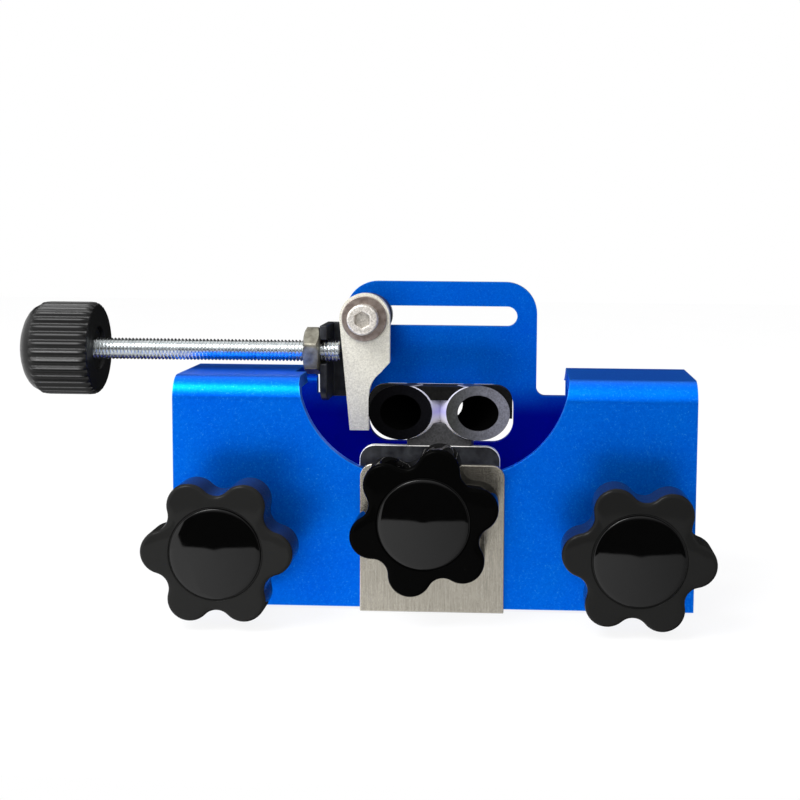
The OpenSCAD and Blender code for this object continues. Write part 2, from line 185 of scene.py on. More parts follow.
def corner_normals(mesh, limit=math.radians(50)):
    """A normal for each face corner: flat faces keep theirs, and curved ones blend into what they meet."""
    around = [[] for _ in mesh.vertices]
    for face in mesh.polygons:
        for vertex in face.vertices:
            around[vertex].append(face)
    normals = []
    for face in mesh.polygons:
        for vertex in face.vertices:
            if not face.use_smooth:
                normals.append(face.normal.copy())
                continue
            near = [f for f in around[vertex] if f.normal.angle(face.normal, 0) < limit]
            flat = [f for f in near if not f.use_smooth]
            normals.append(sum((f.normal * f.area for f in flat or near), Vector()).normalized())
    return normals


def flat_faces(bm):
    """Faces that are truly flat. A strip of a curved surface leans as much as the strips beside it."""
    leans = {}
    for face in bm.faces:
        angles = [edge.calc_face_angle(0) for edge in face.edges if edge.is_manifold]
        leans[face] = max((a for a in angles if a < SOFT), default=0)
    flat = []
    for face, lean in leans.items():
        beside = {f for edge in face.edges for f in edge.link_faces if f is not face}
        steepest = max((leans[f] for f in beside if f.normal.angle(face.normal, 0) < SOFT), default=0)
        if lean < math.radians(0.5) or lean < 0.7 * steepest:
            flat.append(face)
    return flat


def lies_in(face, normal, distance):
    """True if a face lies in the plane with this normal and distance from the origin."""
    return face.normal.dot(normal) > 0.99999 and abs(face.verts[0].co.dot(normal) - distance) < 0.003


def rounded_copy(node, edge, material, segments=3):
    """Piece with the shape of a CAD node, its sharp edges rounded by edge millimetres."""
    bm = bmesh.new()
    bm.from_mesh(frame["nodes"][node].data)
    bmesh.ops.scale(bm, vec=(1 / MM, 1 / MM, 1 / MM), verts=bm.verts)
    bmesh.ops.remove_doubles(bm, verts=bm.verts, dist=0.002)
    bmesh.ops.dissolve_limit(bm, angle_limit=math.radians(1), verts=bm.verts, edges=bm.edges)
    planes = [(face.normal.copy(), face.normal.dot(face.verts[0].co)) for face in flat_faces(bm)]
    sharp = [e for e in bm.edges if e.is_manifold and e.calc_face_angle(0) > SOFT]
    bmesh.ops.bevel(bm, geom=sharp, offset=edge, segments=segments, profile=0.5, affect="EDGES",
                    clamp_overlap=True)
    bm.normal_update()
    for face in bm.faces:
        face.smooth = not any(lies_in(face, normal, distance) for normal, distance in planes)
    return piece(node + "_detail", bm, node, material)


# ---- shader helpers ----

def add(tree, kind, inputs=None, **settings):
    """Adds a shader node. An input value that is a socket is linked, any other value is set."""
    node = tree.nodes.new("ShaderNode" + kind)
    for key, value in settings.items():
        setattr(node, key, value)
    for key, value in (inputs or {}).items():
        socket = node.inputs[key]
        if isinstance(value, bpy.types.NodeSocket):
            tree.links.new(value, socket)
        elif isinstance(value, (tuple, list)) and len(value) == 3 and socket.type == "RGBA":
            socket.default_value = (*value, 1)
        else:
            socket.default_value = value
    return node


def new_tree(name):
    """New material and its empty node tree."""
    material = bpy.data.materials.new(name)
    material.use_nodes = True
    material.node_tree.nodes.clear()
    return material, material.node_tree


def coordinates(tree, stretch=(1, 1, 1)):
    """Place on the piece in millimetres, scaled along each axis."""
    source = add(tree, "TexCoord").outputs["Object"]
    scale = tuple(s / MM for s in stretch)
    return add(tree, "Mapping", {"Vector": source, "Scale": scale}).outputs["Vector"]


def noise(tree, size, detail=3.0, stretch=(1, 1, 1), roughness=0.55):
    """Noise whose features are about size millimetres wide."""
    vector = coordinates(tree, stretch)
    inputs = {"Vector": vector, "Scale": 1 / size, "Detail": detail, "Roughness": roughness}
    return add(tree, "TexNoise", inputs).outputs["Fac"]


def ramp(tree, value, stops):
    """Colour ramp through (position, colour) stops; a colour may be a single grey value."""
    node = add(tree, "ValToRGB", {"Fac": value})
    elements = node.color_ramp.elements
    while len(elements) < len(stops):
        elements.new(1.0)
    for element, (position, colour) in zip(elements, stops):
        element.position = position
        rgb = (colour,) * 3 if isinstance(colour, (int, float)) else colour
        element.color = (*rgb, 1)
    return node.outputs["Color"]


def mix(tree, factor, first, second, blend_type="MIX"):
    """Blend of two colours."""
    node = add(tree, "Mix", data_type="RGBA", blend_type=blend_type)
    for key, value in ((0, factor), (6, first), (7, second)):
        socket = node.inputs[key]
        if isinstance(value, bpy.types.NodeSocket):
            tree.links.new(value, socket)
        else:
            socket.default_value = (*value, 1) if isinstance(value, tuple) else value
    return node.outputs[2]


def maths(tree, operation, a, b=0.0):
    """Result of one arithmetic node, not clamped."""
    return add(tree, "Math", {0: a, 1: b}, operation=operation).outputs["Value"]


def fade(tree, value, low, high):
    """0 at low, 1 at high and smooth between, held at its ends; low may be the larger."""
    inputs = {"Value": value, "From Min": low, "From Max": high}
    return add(tree, "MapRange", inputs, interpolation_type="SMOOTHSTEP").outputs["Result"]


def bump(tree, height, distance, strength=1.0):
    """Normal from a height between 0 and 1, distance in millimetres."""
    inputs = {"Height": height, "Distance": distance * MM, "Strength": strength}
    return add(tree, "Bump", inputs).outputs["Normal"]


def local_axis(tree, kind, axis):
    """One component of the place or of the surface direction on the piece."""
    if kind == "place":
        vector = coordinates(tree)
    else:
        vector = add(tree, "TexCoord").outputs["Normal"]
    return add(tree, "SeparateXYZ", {"Vector": vector}).outputs[axis]


def distance_from(tree, point, axes):
    """Distance from a point in millimetres, counted only along the axes that are 1 and not 0."""
    away = add(tree, "VectorMath", {0: coordinates(tree), 1: point}, operation="SUBTRACT").outputs["Vector"]
    across = add(tree, "VectorMath", {0: away, 1: axes}, operation="MULTIPLY").outputs["Vector"]
    return add(tree, "VectorMath", {0: across}, operation="LENGTH").outputs["Value"]


def edge_wear_and_highlight(tree, width=0.5):
    """1 along edges, over about width millimetres; it marks edge wear and painted edge highlights."""
    rounded = add(tree, "Bevel", {"Radius": width * MM}, samples=6).outputs["Normal"]
    plain = add(tree, "NewGeometry").outputs["Normal"]
    alike = add(tree, "VectorMath", {0: rounded, 1: plain}, operation="DOT_PRODUCT").outputs["Value"]
    return fade(tree, alike, 0.985, 0.9)


def surface(tree, **inputs):
    """Principled shader joined to the output; names use _ for a space."""
    values = {key.replace("_", " "): value for key, value in inputs.items()}
    shader = add(tree, "BsdfPrincipled", values)
    add(tree, "OutputMaterial", {"Surface": shader.outputs["BSDF"]})
    return shader


# ---- materials ----

def blue_sheet():
    """Metallic blue coat with fine sparkle and streaks along the bends, a painted highlight along its edges
    and painted shade inside the channel.
    """
    material, tree = new_tree("blue_sheet")
    low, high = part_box("body")
    cloud = ramp(tree, noise(tree, 22, 2), [(0.3, (0.0, 0.16, 1.0)), (0.7, (0.0, 0.22, 1.0))])
    grain = noise(tree, 0.55, 4, roughness=0.75)
    flakes = [(0.35, (0.0, 0.08, 0.8)), (0.58, (0.0, 0.16, 1.0)), (0.7, (0.06, 0.42, 1.0))]
    sparkle = ramp(tree, grain, flakes)
    coat = mix(tree, 0.5, cloud, sparkle)
    streaks = noise(tree, 0.6, 3, stretch=(0.02, 1, 1))
    coat = mix(tree, maths(tree, "MULTIPLY", streaks, 0.15), coat, (0.0, 0.26, 1.0))
    # Painted highlight: the coat is paler blue along its edges.
    coat = mix(tree, maths(tree, "MULTIPLY", edge_wear_and_highlight(tree, 0.6), 0.5), coat, (0.04, 0.45, 1.0))
    # Painted shade: deep navy inside the channel, below the bend, but not on the outer back face.
    depth = fade(tree, local_axis(tree, "place", "Y"), low.y / MM + 5, low.y / MM + 12)
    within = fade(tree, local_axis(tree, "place", "Y"), high.y / MM - 0.2, high.y / MM - 0.8)
    lower = fade(tree, local_axis(tree, "place", "Z"), 6, -6)
    painted_inside_shade = maths(tree, "MULTIPLY", maths(tree, "MULTIPLY", depth, within), lower)
    coat = mix(tree, painted_inside_shade, coat, (0.0, 0.006, 0.5))
    surface(tree, Base_Color=coat, Metallic=0.92, Roughness=0.38, Specular_IOR_Level=0.1,
            Normal=bump(tree, grain, 0.05, 0.5))
    return material


def gloss_black(node, grey, shine):
    """Glossy black plastic of a star knob: a clear cap, and a lobed face whose grey and shine are set per
    knob as painted light.
    """
    material, tree = new_tree(node + "_plastic_painted_light")
    centre = middle(node)
    lobed = fade(tree, distance_from(tree, centre, (1, 0, 1)), DOME_R, DOME_R + 0.15)
    dust = ramp(tree, noise(tree, 0.3, 2), [(0.72, 0.0), (0.8, 1.0)])
    # Painted light: the lobed face is lighter and shinier on lit knobs, darker and duller on the shaded
    # centre knob.
    base = mix(tree, lobed, (0.0008, 0.0008, 0.0008), (grey, grey, grey * 0.97))
    colour = mix(tree, maths(tree, "MULTIPLY", dust, 0.05), base, (0.2, 0.2, 0.2))
    level = maths(tree, "ADD", maths(tree, "MULTIPLY", lobed, shine - 0.33), 0.33)
    scratches = noise(tree, 0.25, 3, stretch=(1, 1, 0.08))
    rough = ramp(tree, scratches, [(0.4, 0.03), (0.8, 0.08)])
    surface(tree, Base_Color=colour, Roughness=rough, IOR=1.5, Specular_IOR_Level=level,
            Normal=bump(tree, noise(tree, 9, 1), 0.04, 0.25))
    return material


def ribbed_black():
    """Moulded black plastic: dark between the ribs, with a painted highlight on their crests."""
    material, tree = new_tree("ribbed_black")
    low, high = span("adjuster_knob", 2)
    radius = (high - low) / 2
    distance = distance_from(tree, middle("adjuster_rod"), (0, 1, 1))
    # Painted highlight: the outer crests of the ribs are lighter than the grooves.
    crest = fade(tree, distance, radius - 0.22, radius - 0.02)
    colour = mix(tree, crest, (0.003, 0.003, 0.003), (0.08, 0.08, 0.08))
    grain = noise(tree, 0.5, 3)
    rough = ramp(tree, grain, [(0.3, 0.32), (0.7, 0.45)])
    surface(tree, Base_Color=colour, Roughness=rough, IOR=1.45, Specular_IOR_Level=0.3,
            Normal=bump(tree, grain, 0.03, 0.4))
    return material


def stainless():
    """Stainless plate, ground along its height, with a sandy grain and a painted highlight along its edges.
    """
    material, tree = new_tree("stainless")
    lines = noise(tree, 0.35, 4, stretch=(1, 1, 0.05))
    sand = noise(tree, 0.5, 4, roughness=0.8)
    colour = ramp(tree, lines, [(0.25, (0.26, 0.24, 0.2)), (0.75, (0.56, 0.525, 0.445))])
    speckle = ramp(tree, sand, [(0.3, (0.25, 0.235, 0.2)), (0.7, (0.62, 0.585, 0.505))])
    colour = mix(tree, 0.35, colour, speckle)
    # Painted highlight: the plate is paler along its edges.
    colour = mix(tree, maths(tree, "MULTIPLY", edge_wear_and_highlight(tree), 0.7), colour, (0.9, 0.88, 0.84))
    rough = ramp(tree, lines, [(0.3, 0.16), (0.7, 0.24)])
    surface(tree, Base_Color=colour, Metallic=0.9, Roughness=rough, Normal=bump(tree, sand, 0.02, 0.5))
    return material


def blasted_steel():
    """Bead-blasted pale steel."""
    material, tree = new_tree("blasted_steel")
    sand = noise(tree, 0.45, 4, roughness=0.8)
    spots = noise(tree, 4, 3)
    colour = ramp(tree, sand, [(0.3, (0.5, 0.48, 0.41)), (0.7, (0.92, 0.9, 0.8))])
    colour = mix(tree, maths(tree, "MULTIPLY", spots, 0.3), colour, (0.8, 0.77, 0.66))
    surface(tree, Base_Color=colour, Metallic=0.6, Roughness=0.55, Normal=bump(tree, sand, 0.04, 0.6))
    return material


def black_steel(name, painted_side_light=0.0):
    """Blackened steel, paler along its edges, part wear and part painted edge highlight; the second argument
    sets how much painted light brightens the faces that don't look forwards.
    """
    material, tree = new_tree(name)
    patches = noise(tree, 2.5, 4)
    colour = ramp(tree, patches, [(0.3, (0.006, 0.006, 0.008)), (0.75, (0.026, 0.028, 0.032))])
    # Edges paler: part wear, part painted edge highlight.
    wear_and_painted_light = maths(tree, "MULTIPLY", edge_wear_and_highlight(tree, 0.3), 0.12)
    # Painted light: faces that don't look forwards are painted bright, as much as the second argument asks.
    aside = fade(tree, local_axis(tree, "direction", "Y"), -0.93, -0.7)
    wear_and_painted_light = maths(tree, "MAXIMUM", wear_and_painted_light, maths(tree, "MULTIPLY", aside, painted_side_light))
    colour = mix(tree, wear_and_painted_light, colour, (0.9, 0.89, 0.87))
    rough = ramp(tree, patches, [(0.3, 0.28), (0.8, 0.45)])
    surface(tree, Base_Color=colour, Metallic=maths(tree, "MULTIPLY", wear_and_painted_light, 0.4), Roughness=rough,
            Specular_IOR_Level=0.3, Normal=bump(tree, noise(tree, 0.4, 3), 0.02, 0.5))
    return material


def dark_steel():
    """Grey sintered steel with a coarse grain."""
    material, tree = new_tree("dark_steel")
    grain = noise(tree, 0.5, 4, roughness=0.8)
    colour = ramp(tree, grain, [(0.3, (0.012, 0.012, 0.013)), (0.75, (0.07, 0.07, 0.074))])
    # Paler along edges: part wear, part painted edge highlight.
    colour = mix(tree, maths(tree, "MULTIPLY", edge_wear_and_highlight(tree, 0.3), 0.25), colour, (0.4, 0.4, 0.39))
    surface(tree, Base_Color=colour, Metallic=0.3, Roughness=0.5, Normal=bump(tree, grain, 0.04, 0.6))
    return material


def axis_distance(tree, mount):
    """Distance from a record mount's axis, in millimetres."""
    axis = Vector(mount["axis"]).normalized()
    start = Vector(mount["pos_m"]) / MM
    away = add(tree, "VectorMath", {0: coordinates(tree), 1: start}, operation="SUBTRACT").outputs["Vector"]
    across = add(tree, "VectorMath", {0: away, 1: axis}, operation="CROSS_PRODUCT").outputs["Vector"]
    return add(tree, "VectorMath", {0: across}, operation="LENGTH").outputs["Value"]


def bushing_steel(side, painted_face_left, painted_face_right, shine):
    """Steel bushing: a painted reflection on the flanks where the two meet, a grainy cut face painted
    lighter towards one side, and a bore painted black as shade.
    """
    material, tree = new_tree(side + "_bushing_steel_painted_light")
    mount = next(m for m in RECORD["mounts"] if m["name"] == side + "_guide_bore")
    bore_r = mount["dims"]["r_mm"]
    low, high = span(side + "_guide_bushing", 0)
    across = local_axis(tree, "place", "X")
    facing = fade(tree, maths(tree, "MULTIPLY", local_axis(tree, "direction", "Y"), -1), 0.86, 0.95)
    grain = noise(tree, 0.5, 4, roughness=0.8)
    # Painted light: the cut face grades from the first face colour on its left to the second on its right.
    face = mix(tree, fade(tree, across, low, high), painted_face_left, painted_face_right)
    face = mix(tree, 1.0, face, ramp(tree, grain, [(0.3, 0.5), (0.7, 1.4)]), "MULTIPLY")
    height = fade(tree, local_axis(tree, "place", "Z"), -4, 4)
    # Painted reflection on the flanks: pale at the bottom, lilac in the middle, grey-blue at the top.
    flank_painted_reflection = ramp(tree, height, [(0.0, (0.8, 0.78, 0.8)), (0.5, (0.42, 0.4, 0.68)), (1.0, (0.5, 0.5, 0.6))])
    # The painted reflection shows only near where the two bushings meet and on faces that don't look up;
    # elsewhere the flank is near black.
    inward = fade(tree, maths(tree, "ABSOLUTE", across), 8, 7.2)
    sideways = fade(tree, local_axis(tree, "direction", "Z"), 0.97, 0.9)
    flank_painted_reflection = mix(tree, maths(tree, "MULTIPLY", inward, sideways), (0.01, 0.01, 0.012), flank_painted_reflection)
    colour = mix(tree, facing, flank_painted_reflection, face)
    # Painted shade: the bore is black and has no shine.
    outside = fade(tree, axis_distance(tree, mount), bore_r + 0.05, bore_r + 0.2)
    colour = mix(tree, outside, (0.001, 0.001, 0.001), colour)
    level = maths(tree, "MULTIPLY", outside, shine)
    surface(tree, Base_Color=colour, Metallic=0.0, Roughness=0.35, Specular_IOR_Level=level,
            Normal=bump(tree, grain, 0.02, 0.4))
    return material


def zinc():
    """Bright zinc plate."""
    material, tree = new_tree("zinc")
    cloud = noise(tree, 2, 3)
    colour = ramp(tree, cloud, [(0.3, (0.66, 0.7, 0.71)), (0.7, (0.84, 0.87, 0.88))])
    rough = ramp(tree, cloud, [(0.3, 0.16), (0.7, 0.27)])
    surface(tree, Base_Color=colour, Metallic=1.0, Roughness=rough)
    return material


def bolt_steel():
    """Warm bright steel of the socket screw, with dull specks."""
    material, tree = new_tree("bolt_steel")
    specks = noise(tree, 0.5, 4, roughness=0.7)
    colour = ramp(tree, specks, [(0.3, (0.34, 0.31, 0.27)), (0.65, (0.86, 0.82, 0.76))])
    surface(tree, Base_Color=colour, Metallic=0.55, Roughness=0.33, Normal=bump(tree, specks, 0.03, 0.5))
    return material


def soft_black():
    """Matt black paint."""
    material, tree = new_tree("soft_black")
    grain = noise(tree, 0.6, 4)
    colour = ramp(tree, grain, [(0.3, 0.0015), (0.7, 0.005)])
    surface(tree, Base_Color=colour, Roughness=0.7, Specular_IOR_Level=0.08,
            Normal=bump(tree, grain, 0.03, 0.4))
    return material


def dull_zinc():
    """Aged zinc with brown stains."""
    material, tree = new_tree("dull_zinc")
    stains = noise(tree, 2.2, 4)
    browns = [(0.3, (0.1, 0.092, 0.07)), (0.5, (0.18, 0.17, 0.135)), (0.75, (0.28, 0.27, 0.22))]
    colour = ramp(tree, stains, browns)
    surface(tree, Base_Color=colour, Metallic=0.6, Roughness=0.36,
            Normal=bump(tree, noise(tree, 0.4, 3), 0.02, 0.5))
    return material


def brown_washer():
    """Washer with a brownish turned face."""
    material, tree = new_tree("brown_washer")
    stains = noise(tree, 1.6, 4)
    colour = ramp(tree, stains, [(0.3, (0.2, 0.15, 0.13)), (0.7, (0.42, 0.35, 0.31))])
    # Paler along edges: part wear, part painted edge highlight.
    colour = mix(tree, edge_wear_and_highlight(tree, 0.3), colour, (0.8, 0.78, 0.74))
    surface(tree, Base_Color=colour, Metallic=0.85, Roughness=0.34,
            Normal=bump(tree, noise(tree, 0.3, 3), 0.02, 0.5))
    return material


def black_rubber():
    """Matt black rubber."""
    material, tree = new_tree("black_rubber")
    grain = noise(tree, 0.4, 4)
    colour = ramp(tree, grain, [(0.3, 0.015), (0.7, 0.035)])
    surface(tree, Base_Color=colour, Roughness=0.75, Normal=bump(tree, grain, 0.05, 0.6))
    return material


# ---- star knobs and studs ----

def arc(centre_r, centre_a, r, start, end, count):
    """Points (x, z) along an arc, without its last point."""
    cx, cz = centre_r * math.cos(centre_a), centre_r * math.sin(centre_a)
    angles = [start + (end - start) * i / count for i in range(count)]
    return [(cx + r * math.cos(a), cz + r * math.sin(a)) for a in angles]


def star_outline(knob_r, inset, turn):
    """Points (x, z) round a star knob moved inwards by inset, as arcs that meet without a corner."""
    step = TAU / LOBES
    lobe_c = knob_r - LOBE_R
    reach = LOBE_R + VALLEY_R
    valley_c = lobe_c * math.cos(step / 2) + math.sqrt(reach ** 2 - (lobe_c * math.sin(step / 2)) ** 2)
    half = math.pi - math.acos((lobe_c - valley_c * math.cos(step / 2)) / reach)
    points = []
    for i in range(LOBES):
        a = turn + i * step
        start, end = a + half + math.pi, a + step - half + math.pi
        points += arc(lobe_c, a, LOBE_R - inset, a - half, a + half, 16)
        points += arc(valley_c, a + step / 2, VALLEY_R + inset, start, end, 10)
    return points


def star_knob(node, material):
    """Star knob: nearly flat lobed face with a rounded rim, a crowned cap set in a groove, and a hub."""
    centre = middle(node)
    low_y, high_y = span(node, 1)
    face_y = low_y + DOME_H
    turn = math.radians(KNOB_TURN[node])
    knob_r = knob_radius()
    directions = [math.atan2(z, x) for x, z in star_outline(knob_r, 0, turn)]

    def circle(r, y):
        return [Vector((centre.x + r * math.cos(a), y, centre.z + r * math.sin(a))) for a in directions]

    def star(inset, y):
        return [Vector((centre.x + x, y, centre.z + z)) for x, z in star_outline(knob_r, inset, turn)]

    cap_rim = 0.35
    rings = [circle(r, low_y + (DOME_H - cap_rim) * (r / DOME_R) ** 2)
             for r in (1, 3, 5, 7, 9, 10.3, DOME_R - 0.3)]
    rings += [circle(DOME_R - 0.08, face_y - cap_rim + 0.12), circle(DOME_R, face_y + 0.35)]
    rings += [circle(DOME_R + 0.25, face_y + 0.35), circle(DOME_R + 0.4, face_y + 0.05)]
    face_ring = star(1.0, face_y + 0.15)
    inner_ring = circle(DOME_R + 0.6, face_y)
    rings += [inner_ring, [a.lerp(b, 0.5) for a, b in zip(inner_ring, face_ring)], face_ring]
    front_rim = ((0.55, 0.28), (0.22, 0.55), (0.05, 0.95), (0, 1.5))
    back_rim = ((0, 1.2), (0.25, 0.45), (0.7, 0.1), (1.3, 0))
    rings += [star(inset, face_y + depth) for inset, depth in front_rim]
    rings += [star(inset, face_y + HEAD_T - depth) for inset, depth in back_rim]
    rings += [circle(HUB_R + 0.8, face_y + HEAD_T), circle(HUB_R + 0.1, face_y + HEAD_T + 0.6)]
    rings += [circle(HUB_R, high_y - 0.5), circle(HUB_R - 0.5, high_y), circle(THREAD_R + 0.4, high_y)]
    bm = bmesh.new()
    loft(bm, rings)
    return piece(node + "_moulding", bm, node, material)


def knob_radius():
    """Radius over the lobes: the left knob has a lobe straight to the side, and all knobs are alike."""
    low, high = span("left_knob", 0)
    return (high - low) / 2


def thread_rings(place, low, high, r, pitch, depth, count=24):
    """Rings of a bar with a helical thread from low to high, chamfered at both ends."""
    steps = math.ceil((high - low) / pitch * 8)
    rings = []
    for k in range(steps + 1):
        h = low + (high - low) * k / steps
        taper = min(1.0, 0.3 + min(h - low, high - h) / pitch)
        ring = []
        for i in range(count):
            wave = abs(2 * ((h / pitch - i / count) % 1) - 1)
            groove = min(1.0, max(0.0, (wave - 0.15) / 0.7))
            crest = r - depth * (1 - taper)
            ring.append(place(min(crest, r - depth * groove), TAU * i / count, h))
        rings.append(ring)
    return rings


def side_stud(node, material):
    """Threaded stud along Y with a plain nose that the foot holds."""
    centre = middle(node)
    low, high = span(node, 1)
    place = around_y(centre.x, centre.z)
    rings = thread_rings(place, low, high - NOSE_LEN, THREAD_R, THREAD_PITCH, THREAD_DEPTH)
    rings += turned_rings(place, [(NOSE_R, high - NOSE_LEN), (NOSE_R, high - 0.3), (NOSE_R - 0.3, high)], 24)
    bm = bmesh.new()
    loft(bm, rings)
    return piece(node + "_thread", bm, node, material)


def plain_stud(node, material):
    """Threaded stud along Y."""
    centre = middle(node)
    low, high = span(node, 1)
    bm = bmesh.new()
    loft(bm, thread_rings(around_y(centre.x, centre.z), low, high, THREAD_R, THREAD_PITCH, THREAD_DEPTH))
    return piece(node + "_thread", bm, node, material)


# ---- chain stop and adjuster ----

def hex_radius(across, a):
    """Radius of a hexagon at angle a, its corners slightly broken."""
    flat = across / 2 / math.cos((a + math.pi / 6) % (math.pi / 3) - math.pi / 6)
    return min(flat, across / math.sqrt(3) * 0.985)


def hex_nut(bm, place, across, low, high, bore, turn=0.0, count=72):
    """Hexagon nut with chamfered corners and a chamfered bore."""
    face_r = across / 2 * 0.94
    slope = math.tan(math.radians(30))
    angles = [TAU * i / count for i in range(count)]

    def circle(r, h):
        return [place(r, a + turn, h) for a in angles]

    def hexagon(h, direction):
        radii = [hex_radius(across, a) for a in angles]
        return [place(r, a + turn, h + direction * (r - face_r) * slope) for r, a in zip(radii, angles)]

    rings = [circle(bore, low + 0.5), circle(bore + 0.5, low), circle(face_r, low), hexagon(low, 1)]
    rings += [hexagon(high, -1), circle(face_r, high), circle(bore + 0.5, high), circle(bore, high - 0.5)]
    loft(bm, rings, loop=True)


def adjuster_nut(material):
    """Lock nut of the adjuster rod."""
    node = "adjuster_nut"
    rod = middle("adjuster_rod")
    low, high = span(node, 0)
    bm = bmesh.new()
    hex_nut(bm, around_x(rod.y, rod.z), NUT_AF, low, high, THREAD_R + 0.05, math.radians(NUT_TURN))
    return piece("adjuster_lock_nut", bm, node, material)


def back_nut(material):
    """Nut behind the flag that holds the stop bolt."""
    node = "stop_nut"
    bolt = middle("stop_bolt")
    low, high = span(node, 1)
    bm = bmesh.new()
    hex_nut(bm, around_y(bolt.x, bolt.z), BACK_NUT_AF, low, high, BOLT_R + 0.05)
    return piece("stop_bolt_nut", bm, node, material)


def stop_bolt(material):
    """Socket head screw with a fluted head and a threaded shank."""
    node = "stop_bolt"
    centre = middle(node)
    low, high = span(node, 1)
    place = around_y(centre.x, centre.z)
    count = 72
    angles = [TAU * i / count for i in range(count)]

    def circle(r, h):
        return [place(r, a, h) for a in angles]

    def socket(r_more, h):
        return [place(hex_radius(BOLT_SOCKET_AF, a) + r_more, a, h) for a in angles]

    def fluted(h):
        return [place(BOLT_HEAD_R - 0.06 - 0.06 * math.cos(24 * a), a, h) for a in angles]

    under = low + BOLT_HEAD_T
    rings = [socket(0, low + BOLT_SOCKET_T), socket(0, low + 0.25), socket(0.25, low)]
    rings += [circle(BOLT_HEAD_R - 0.55, low), circle(BOLT_HEAD_R - 0.2, low + 0.15)]
    rings += [circle(BOLT_HEAD_R, low + 0.5), fluted(low + 0.8), fluted(under - 0.3)]
    rings += [circle(BOLT_HEAD_R - 0.2, under), circle(BOLT_R, under)]
    bm = bmesh.new()
    loft(bm, rings)
    loft(bm, thread_rings(place, under - 0.2, high, BOLT_R, BOLT_PITCH, 0.4))
    return piece("stop_socket_screw", bm, node, material)


def washer(node, inner, material, count=72):
    """Flat washer along Y with broken edges."""
    centre = middle(node)
    low, high = span(node, 1)
    low_x, high_x = span(node, 0)
    profile = ring_section(inner, (high_x - low_x) / 2, low, high, 0.18)
    bm = bmesh.new()
    loft(bm, turned_rings(around_y(centre.x, centre.z), profile, count), loop=True)
    return piece(node + "_ring", bm, node, material)


def adjuster_rod(material):
    """Fully threaded rod."""
    node = "adjuster_rod"
    centre = middle(node)
    low, high = span(node, 0)
    bm = bmesh.new()
    loft(bm, thread_rings(around_x(centre.y, centre.z), low, high, THREAD_R, THREAD_PITCH, THREAD_DEPTH))
    return piece("adjuster_threaded_rod", bm, node, material)


def adjuster_knob(material):
    """Ribbed knob with a domed end and a recess where the rod comes out."""
    node = "adjuster_knob"
    centre = middle(node)
    low, high = span(node, 0)
    low_z, high_z = span(node, 2)
    r = (high_z - low_z) / 2
    place = around_x(centre.y, centre.z)
    per_rib = 8
    count = GRIP_RIBS * per_rib
    angles = [TAU * i / count for i in range(count)]
    rib_end = low + GRIP_DOME_T

    def ring(radius, x, rib=0.0):
        shape = [(0.5 + 0.5 * math.cos(GRIP_RIBS * a)) ** 1.6 for a in angles]
        return [place(radius - rib * (1 - s), a, x) for a, s in zip(angles, shape)]

    dome = [(math.cos(t), math.sin(t)) for t in (math.radians(d) for d in (8, 18, 28, 38, 50, 62, 74, 84))]
    dome_r = r - GRIP_RIB_H - 0.15
    rings = [ring(dome_r * across, rib_end - GRIP_DOME_T * along) for across, along in reversed(dome)]
    rings += [ring(dome_r, rib_end - 0.3), ring(r - 0.5, rib_end, GRIP_RIB_H - 0.35)]
    rings += [ring(r - 0.12, rib_end + 0.6, GRIP_RIB_H), ring(r, rib_end + 2, GRIP_RIB_H)]
    rings += [ring(r, high - 2.5, GRIP_RIB_H), ring(r - 0.15, high - 1.1, GRIP_RIB_H)]
    rings += [ring(r - 0.75, high - 0.3, 0.1), ring(r - 1.3, high)]
    rings += [ring(GRIP_RECESS_R + 0.3, high), ring(GRIP_RECESS_R, high - 0.3)]
    rings += [ring(GRIP_RECESS_R - 0.2, high - GRIP_RECESS_T), ring(THREAD_R + 0.5, high - GRIP_RECESS_T)]
    bm = bmesh.new()
    loft(bm, rings)
    return piece("adjuster_ribbed_knob", bm, node, material)


# ---- stage ----

def studio_world():
    """White to the camera. To the jig: soft panels above and beside, grey below, a dark strip in front."""
    world = bpy.data.worlds.new("studio")
    bpy.context.scene.world = world
    world.use_nodes = True
    tree = world.node_tree
    tree.nodes.clear()
    direction = add(tree, "TexCoord").outputs["Generated"]
    axes = add(tree, "SeparateXYZ", {"Vector": direction}).outputs
    left = maths(tree, "MULTIPLY", axes["X"], -1)
    down = maths(tree, "MULTIPLY", axes["Z"], -1)
    front = fade(tree, maths(tree, "MULTIPLY", axes["Y"], -1), 0.0, 0.4)
    below = maths(tree, "MULTIPLY", fade(tree, down, 0.175, 0.19), front)
    ground = maths(tree, "MULTIPLY", below, maths(tree, "ADD", maths(tree, "MULTIPLY", left, 1.0), 0.98))
    behind = fade(tree, axes["Y"], 0.0, 0.3)
    above = fade(tree, maths(tree, "SUBTRACT", axes["Z"], maths(tree, "MULTIPLY", behind, 0.45)), 0.12, 0.35)
    roof = maths(tree, "MULTIPLY", above, maths(tree, "ADD", maths(tree, "MULTIPLY", left, 0.7), 0.95))
    slant = maths(tree, "ADD", left, maths(tree, "MULTIPLY", down, 0.42))
    left_wall = maths(tree, "MULTIPLY", fade(tree, slant, 0.485, 0.5), 1.4)
    right_wall = maths(tree, "MULTIPLY", fade(tree, axes["X"], 0.55, 0.8), 0.5)
    walls = maths(tree, "MAXIMUM", left_wall, right_wall)
    level = maths(tree, "MAXIMUM", maths(tree, "MAXIMUM", roof, walls), ground)
    level = maths(tree, "ADD", level, 0.02)
    studio = add(tree, "Background", {"Color": (1.0, 1.0, 1.0), "Strength": level})
    white = add(tree, "Background", {"Color": (1.0, 1.0, 1.0), "Strength": 1.0})
    camera_ray = add(tree, "LightPath").outputs["Is Camera Ray"]
    seen = add(tree, "MixShader", {0: camera_ray, 1: studio.outputs[0], 2: white.outputs[0]})
    add(tree, "OutputWorld", {"Surface": seen.outputs[0]})


